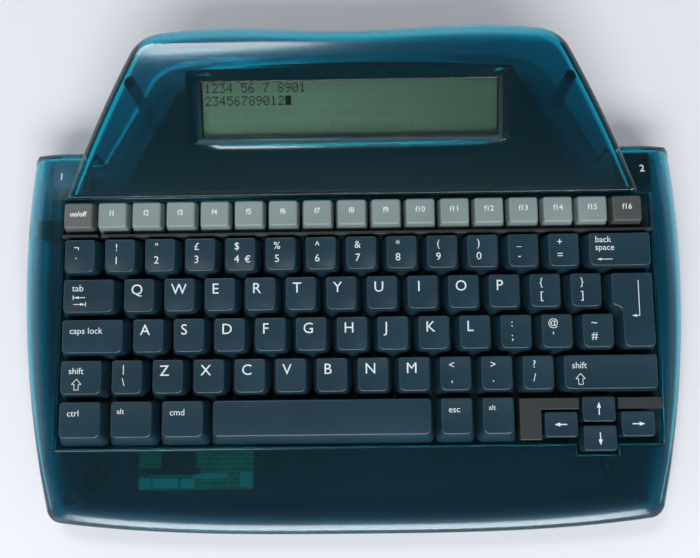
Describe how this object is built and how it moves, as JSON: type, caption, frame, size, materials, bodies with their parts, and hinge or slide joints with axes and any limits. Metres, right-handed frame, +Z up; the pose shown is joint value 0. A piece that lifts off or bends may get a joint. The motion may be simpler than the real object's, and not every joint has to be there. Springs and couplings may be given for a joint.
{
  "type": "electronic word processor",
  "caption": "Portable word processor: a translucent keyboard slab with a raised hump at the rear that holds a wide sloping text display.",
  "frame": {"origin": "middle of the case in plan, on the surface that the feet stand on", "axes": "+X to the right along the key rows, +Y to the rear, away from the typist, +Z up"},
  "size_m": [0.3206, 0.2415, 0.0502],
  "materials": {
    "translucent_case": "gloss, see-through tinted",
    "translucent_base": "satin, see-through tinted",
    "frame_plastic": "matte",
    "dome_rubber": "matte",
    "zinc_steel": "zinc plated",
    "clear_acrylic": "clear gloss",
    "bezel_plastic": "matte",
    "liquid_crystal": "satin grey green",
    "circuit_board": "solder resist",
    "socket_plastic": "matte",
    "battery_jacket": "printed jacket",
    "foot_rubber": "matte",
    "function_key_plastic": "fine texture",
    "key_plastic": "fine texture"
  },
  "bodies": {
    "case": {"upper_case": "translucent_case", "lower_case": "translucent_base", "keyboard_frame": "frame_plastic", "dome_sheet": "dome_rubber", "keyboard_backplate": "zinc_steel", "display_window": "clear_acrylic", "display_bezel": "bezel_plastic", "lcd_panel": "liquid_crystal", "lcd_board": "circuit_board", "main_board": "circuit_board", "printer_socket": "socket_plastic", "computer_socket": "socket_plastic", "power_jack": "socket_plastic", "battery_1": "battery_jacket", "battery_2": "battery_jacket", "battery_3": "battery_jacket", "foot_front_left": "foot_rubber", "foot_front_right": "foot_rubber", "foot_rear_left": "foot_rubber", "foot_rear_right": "foot_rubber"},
    "battery_door": {"battery_cover": "translucent_base"},
    "function_keys": {"function_key_bank": "function_key_plastic"},
    "number_keys": {"number_key_bank": "key_plastic"},
    "symbol_keys": {"symbol_key_bank": "key_plastic"},
    "modifier_keys": {"modifier_key_bank": "key_plastic"},
    "escape_keys": {"escape_key_bank": "key_plastic"},
    "arrow_keys": {"arrow_key_bank": "key_plastic"},
    "backspace": {"key_backspace": "key_plastic"},
    "tab": {"key_tab": "key_plastic"},
    "caps_lock": {"key_caps_lock": "key_plastic"},
    "shift_left": {"key_shift_left": "key_plastic"},
    "shift_right": {"key_shift_right": "key_plastic"},
    "enter": {"key_enter": "key_plastic"},
    "space": {"key_space": "key_plastic"},
    "a": {"key_a": "key_plastic"},
    "b": {"key_b": "key_plastic"},
    "c": {"key_c": "key_plastic"},
    "d": {"key_d": "key_plastic"},
    "e": {"key_e": "key_plastic"},
    "f": {"key_f": "key_plastic"},
    "g": {"key_g": "key_plastic"},
    "h": {"key_h": "key_plastic"},
    "i": {"key_i": "key_plastic"},
    "j": {"key_j": "key_plastic"},
    "k": {"key_k": "key_plastic"},
    "l": {"key_l": "key_plastic"},
    "m": {"key_m": "key_plastic"},
    "n": {"key_n": "key_plastic"},
    "o": {"key_o": "key_plastic"},
    "p": {"key_p": "key_plastic"},
    "q": {"key_q": "key_plastic"},
    "r": {"key_r": "key_plastic"},
    "s": {"key_s": "key_plastic"},
    "t": {"key_t": "key_plastic"},
    "u": {"key_u": "key_plastic"},
    "v": {"key_v": "key_plastic"},
    "w": {"key_w": "key_plastic"},
    "x": {"key_x": "key_plastic"},
    "y": {"key_y": "key_plastic"},
    "z": {"key_z": "key_plastic"}
  },
  "joints": [
    {"name": "battery_cover_slide", "type": "slide", "parent": "case", "child": "battery_door", "axis": [0, -1, 0], "range_m": [0, 0.008]},
    {"name": "function_press", "type": "slide", "parent": "case", "child": "function_keys", "axis": [0, 0.0872, -0.9962], "range_m": [0, 0.0035], "stiffness_N_per_m": 3400, "springref_m": -0.001, "deforming": ["dome_sheet"]},
    {"name": "number_press", "type": "slide", "parent": "case", "child": "number_keys", "axis": [0, 0.0872, -0.9962], "range_m": [0, 0.0035], "stiffness_N_per_m": 2600, "springref_m": -0.001, "deforming": ["dome_sheet"]},
    {"name": "symbol_press", "type": "slide", "parent": "case", "child": "symbol_keys", "axis": [0, 0.0872, -0.9962], "range_m": [0, 0.0035], "stiffness_N_per_m": 1600, "springref_m": -0.001, "deforming": ["dome_sheet"]},
    {"name": "modifier_press", "type": "slide", "parent": "case", "child": "modifier_keys", "axis": [0, 0.0872, -0.9962], "range_m": [0, 0.0035], "stiffness_N_per_m": 800, "springref_m": -0.001, "deforming": ["dome_sheet"]},
    {"name": "escape_press", "type": "slide", "parent": "case", "child": "escape_keys", "axis": [0, 0.0872, -0.9962], "range_m": [0, 0.0035], "stiffness_N_per_m": 400, "springref_m": -0.001, "deforming": ["dome_sheet"]},
    {"name": "arrow_press", "type": "slide", "parent": "case", "child": "arrow_keys", "axis": [0, 0.0872, -0.9962], "range_m": [0, 0.0035], "stiffness_N_per_m": 800, "springref_m": -0.001, "deforming": ["dome_sheet"]},
    {"name": "backspace_press", "type": "slide", "parent": "case", "child": "backspace", "axis": [0, 0.0872, -0.9962], "range_m": [0, 0.0035], "stiffness_N_per_m": 200, "springref_m": -0.001, "deforming": ["dome_sheet"]},
    {"name": "tab_press", "type": "slide", "parent": "case", "child": "tab", "axis": [0, 0.0872, -0.9962], "range_m": [0, 0.0035], "stiffness_N_per_m": 200, "springref_m": -0.001, "deforming": ["dome_sheet"]},
    {"name": "caps_lock_press", "type": "slide", "parent": "case", "child": "caps_lock", "axis": [0, 0.0872, -0.9962], "range_m": [0, 0.0035], "stiffness_N_per_m": 200, "springref_m": -0.001, "deforming": ["dome_sheet"]},
    {"name": "shift_left_press", "type": "slide", "parent": "case", "child": "shift_left", "axis": [0, 0.0872, -0.9962], "range_m": [0, 0.0035], "stiffness_N_per_m": 200, "springref_m": -0.001, "deforming": ["dome_sheet"]},
    {"name": "shift_right_press", "type": "slide", "parent": "case", "child": "shift_right", "axis": [0, 0.0872, -0.9962], "range_m": [0, 0.0035], "stiffness_N_per_m": 250, "springref_m": -0.001, "deforming": ["dome_sheet"]},
    {"name": "enter_press", "type": "slide", "parent": "case", "child": "enter", "axis": [0, 0.0872, -0.9962], "range_m": [0, 0.0035], "stiffness_N_per_m": 200, "springref_m": -0.001, "deforming": ["dome_sheet"]},
    {"name": "space_press", "type": "slide", "parent": "case", "child": "space", "axis": [0, 0.0872, -0.9962], "range_m": [0, 0.0035], "stiffness_N_per_m": 300, "springref_m": -0.001, "deforming": ["dome_sheet"]},
    {"name": "a_press", "type": "slide", "parent": "case", "child": "a", "axis": [0, 0.0872, -0.9962], "range_m": [0, 0.0035], "stiffness_N_per_m": 200, "springref_m": -0.001, "deforming": ["dome_sheet"]},
    {"name": "b_press", "type": "slide", "parent": "case", "child": "b", "axis": [0, 0.0872, -0.9962], "range_m": [0, 0.0035], "stiffness_N_per_m": 200, "springref_m": -0.001, "deforming": ["dome_sheet"]},
    {"name": "c_press", "type": "slide", "parent": "case", "child": "c", "axis": [0, 0.0872, -0.9962], "range_m": [0, 0.0035], "stiffness_N_per_m": 200, "springref_m": -0.001, "deforming": ["dome_sheet"]},
    {"name": "d_press", "type": "slide", "parent": "case", "child": "d", "axis": [0, 0.0872, -0.9962], "range_m": [0, 0.0035], "stiffness_N_per_m": 200, "springref_m": -0.001, "deforming": ["dome_sheet"]},
    {"name": "e_press", "type": "slide", "parent": "case", "child": "e", "axis": [0, 0.0872, -0.9962], "range_m": [0, 0.0035], "stiffness_N_per_m": 200, "springref_m": -0.001, "deforming": ["dome_sheet"]},
    {"name": "f_press", "type": "slide", "parent": "case", "child": "f", "axis": [0, 0.0872, -0.9962], "range_m": [0, 0.0035], "stiffness_N_per_m": 200, "springref_m": -0.001, "deforming": ["dome_sheet"]},
    {"name": "g_press", "type": "slide", "parent": "case", "child": "g", "axis": [0, 0.0872, -0.9962], "range_m": [0, 0.0035], "stiffness_N_per_m": 200, "springref_m": -0.001, "deforming": ["dome_sheet"]},
    {"name": "h_press", "type": "slide", "parent": "case", "child": "h", "axis": [0, 0.0872, -0.9962], "range_m": [0, 0.0035], "stiffness_N_per_m": 200, "springref_m": -0.001, "deforming": ["dome_sheet"]},
    {"name": "i_press", "type": "slide", "parent": "case", "child": "i", "axis": [0, 0.0872, -0.9962], "range_m": [0, 0.0035], "stiffness_N_per_m": 200, "springref_m": -0.001, "deforming": ["dome_sheet"]},
    {"name": "j_press", "type": "slide", "parent": "case", "child": "j", "axis": [0, 0.0872, -0.9962], "range_m": [0, 0.0035], "stiffness_N_per_m": 200, "springref_m": -0.001, "deforming": ["dome_sheet"]},
    {"name": "k_press", "type": "slide", "parent": "case", "child": "k", "axis": [0, 0.0872, -0.9962], "range_m": [0, 0.0035], "stiffness_N_per_m": 200, "springref_m": -0.001, "deforming": ["dome_sheet"]},
    {"name": "l_press", "type": "slide", "parent": "case", "child": "l", "axis": [0, 0.0872, -0.9962], "range_m": [0, 0.0035], "stiffness_N_per_m": 200, "springref_m": -0.001, "deforming": ["dome_sheet"]},
    {"name": "m_press", "type": "slide", "parent": "case", "child": "m", "axis": [0, 0.0872, -0.9962], "range_m": [0, 0.0035], "stiffness_N_per_m": 200, "springref_m": -0.001, "deforming": ["dome_sheet"]},
    {"name": "n_press", "type": "slide", "parent": "case", "child": "n", "axis": [0, 0.0872, -0.9962], "range_m": [0, 0.0035], "stiffness_N_per_m": 200, "springref_m": -0.001, "deforming": ["dome_sheet"]},
    {"name": "o_press", "type": "slide", "parent": "case", "child": "o", "axis": [0, 0.0872, -0.9962], "range_m": [0, 0.0035], "stiffness_N_per_m": 200, "springref_m": -0.001, "deforming": ["dome_sheet"]},
    {"name": "p_press", "type": "slide", "parent": "case", "child": "p", "axis": [0, 0.0872, -0.9962], "range_m": [0, 0.0035], "stiffness_N_per_m": 200, "springref_m": -0.001, "deforming": ["dome_sheet"]},
    {"name": "q_press", "type": "slide", "parent": "case", "child": "q", "axis": [0, 0.0872, -0.9962], "range_m": [0, 0.0035], "stiffness_N_per_m": 200, "springref_m": -0.001, "deforming": ["dome_sheet"]},
    {"name": "r_press", "type": "slide", "parent": "case", "child": "r", "axis": [0, 0.0872, -0.9962], "range_m": [0, 0.0035], "stiffness_N_per_m": 200, "springref_m": -0.001, "deforming": ["dome_sheet"]},
    {"name": "s_press", "type": "slide", "parent": "case", "child": "s", "axis": [0, 0.0872, -0.9962], "range_m": [0, 0.0035], "stiffness_N_per_m": 200, "springref_m": -0.001, "deforming": ["dome_sheet"]},
    {"name": "t_press", "type": "slide", "parent": "case", "child": "t", "axis": [0, 0.0872, -0.9962], "range_m": [0, 0.0035], "stiffness_N_per_m": 200, "springref_m": -0.001, "deforming": ["dome_sheet"]},
    {"name": "u_press", "type": "slide", "parent": "case", "child": "u", "axis": [0, 0.0872, -0.9962], "range_m": [0, 0.0035], "stiffness_N_per_m": 200, "springref_m": -0.001, "deforming": ["dome_sheet"]},
    {"name": "v_press", "type": "slide", "parent": "case", "child": "v", "axis": [0, 0.0872, -0.9962], "range_m": [0, 0.0035], "stiffness_N_per_m": 200, "springref_m": -0.001, "deforming": ["dome_sheet"]},
    {"name": "w_press", "type": "slide", "parent": "case", "child": "w", "axis": [0, 0.0872, -0.9962], "range_m": [0, 0.0035], "stiffness_N_per_m": 200, "springref_m": -0.001, "deforming": ["dome_sheet"]},
    {"name": "x_press", "type": "slide", "parent": "case", "child": "x", "axis": [0, 0.0872, -0.9962], "range_m": [0, 0.0035], "stiffness_N_per_m": 200, "springref_m": -0.001, "deforming": ["dome_sheet"]},
    {"name": "y_press", "type": "slide", "parent": "case", "child": "y", "axis": [0, 0.0872, -0.9962], "range_m": [0, 0.0035], "stiffness_N_per_m": 200, "springref_m": -0.001, "deforming": ["dome_sheet"]},
    {"name": "z_press", "type": "slide", "parent": "case", "child": "z", "axis": [0, 0.0872, -0.9962], "range_m": [0, 0.0035], "stiffness_N_per_m": 200, "springref_m": -0.001, "deforming": ["dome_sheet"]}
  ]
}
